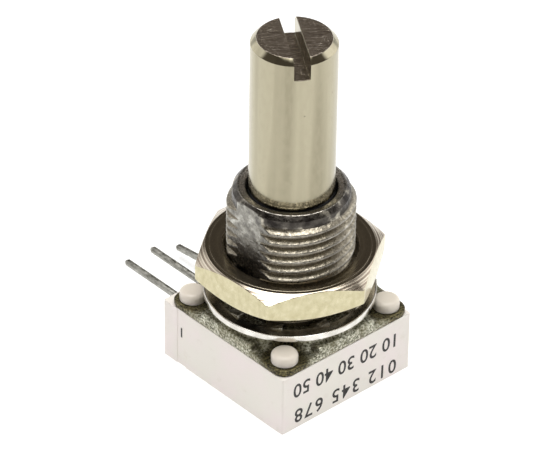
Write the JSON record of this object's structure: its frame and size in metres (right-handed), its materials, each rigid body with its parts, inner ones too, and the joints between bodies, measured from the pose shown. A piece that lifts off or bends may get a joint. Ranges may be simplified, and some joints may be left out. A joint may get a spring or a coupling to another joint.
{
  "type": "rotary potentiometer",
  "caption": "Single-turn panel potentiometer: square moulded body, die-cast plate and threaded bushing, slotted shaft, hex nut, lock washer and a row of round pins.",
  "frame": {"origin": "on the shaft axis, in the plane of the panel face (the round seat that the lock washer lies on)", "axes": "+Z along the shaft towards its slotted tip; the terminals leave the body towards -Y; the side beside terminal 1, with the bushing's flat, faces +X"},
  "size_m": [0.0132, 0.0229, 0.0288],
  "materials": {
    "nickel_brass": "satin nickel-plated brass",
    "seal_rubber": "matt black rubber",
    "spring_steel": "plain spring steel",
    "zinc_casting": "dull as-cast zinc, brighter on the thread crests",
    "washer_steel": "plated spring steel, bright rim",
    "nut_brass": "pale nickel-plated brass, turned faces",
    "white_moulding": "warm white moulding with a slight sheen",
    "rotor_moulding": "dark moulding",
    "contact_alloy": "bright contact alloy",
    "alumina": "white alumina",
    "resistor_film": "fired dark film",
    "conductor_film": "fired silver film",
    "tinned_wire": "dull tin plate",
    "solder": "bright solder",
    "epoxy": "cured cream epoxy"
  },
  "bodies": {
    "frame": {"bushing_plate": "zinc_casting", "housing": "white_moulding", "substrate": "alumina", "resistive_track": "resistor_film", "collector_track": "conductor_film", "track_terminations": "conductor_film", "terminal_1": "tinned_wire", "terminal_2": "tinned_wire", "terminal_3": "tinned_wire", "solder_joints": "solder", "rear_seal": "epoxy"},
    "spindle": {"shaft": "nickel_brass", "shaft_seal": "seal_rubber", "retaining_ring": "spring_steel", "rotor": "rotor_moulding", "wiper": "contact_alloy"},
    "washer": {"lock_washer": "washer_steel"},
    "nut": {"mounting_nut": "nut_brass"}
  },
  "joints": [
    {"name": "shaft_turn", "type": "hinge", "parent": "frame", "child": "spindle", "pos_m": [0, 0, 0], "axis": [0, 0, 1], "range_deg": [-118.6, 181.4]},
    {"name": "nut_turn", "type": "hinge", "parent": "frame", "child": "washer", "pos_m": [0, 0, 0], "axis": [0, 0, 1], "range_deg": [-499, 2395]},
    {"name": "nut_travel", "type": "slide", "parent": "washer", "child": "nut", "axis": [0, 0, 1], "range_m": [-0.0011, 0.00528]}
  ],
  "couplings": [
    {"joint": "nut_turn", "follows": "nut_travel", "rad_per_m": 7915.8}
  ]
}
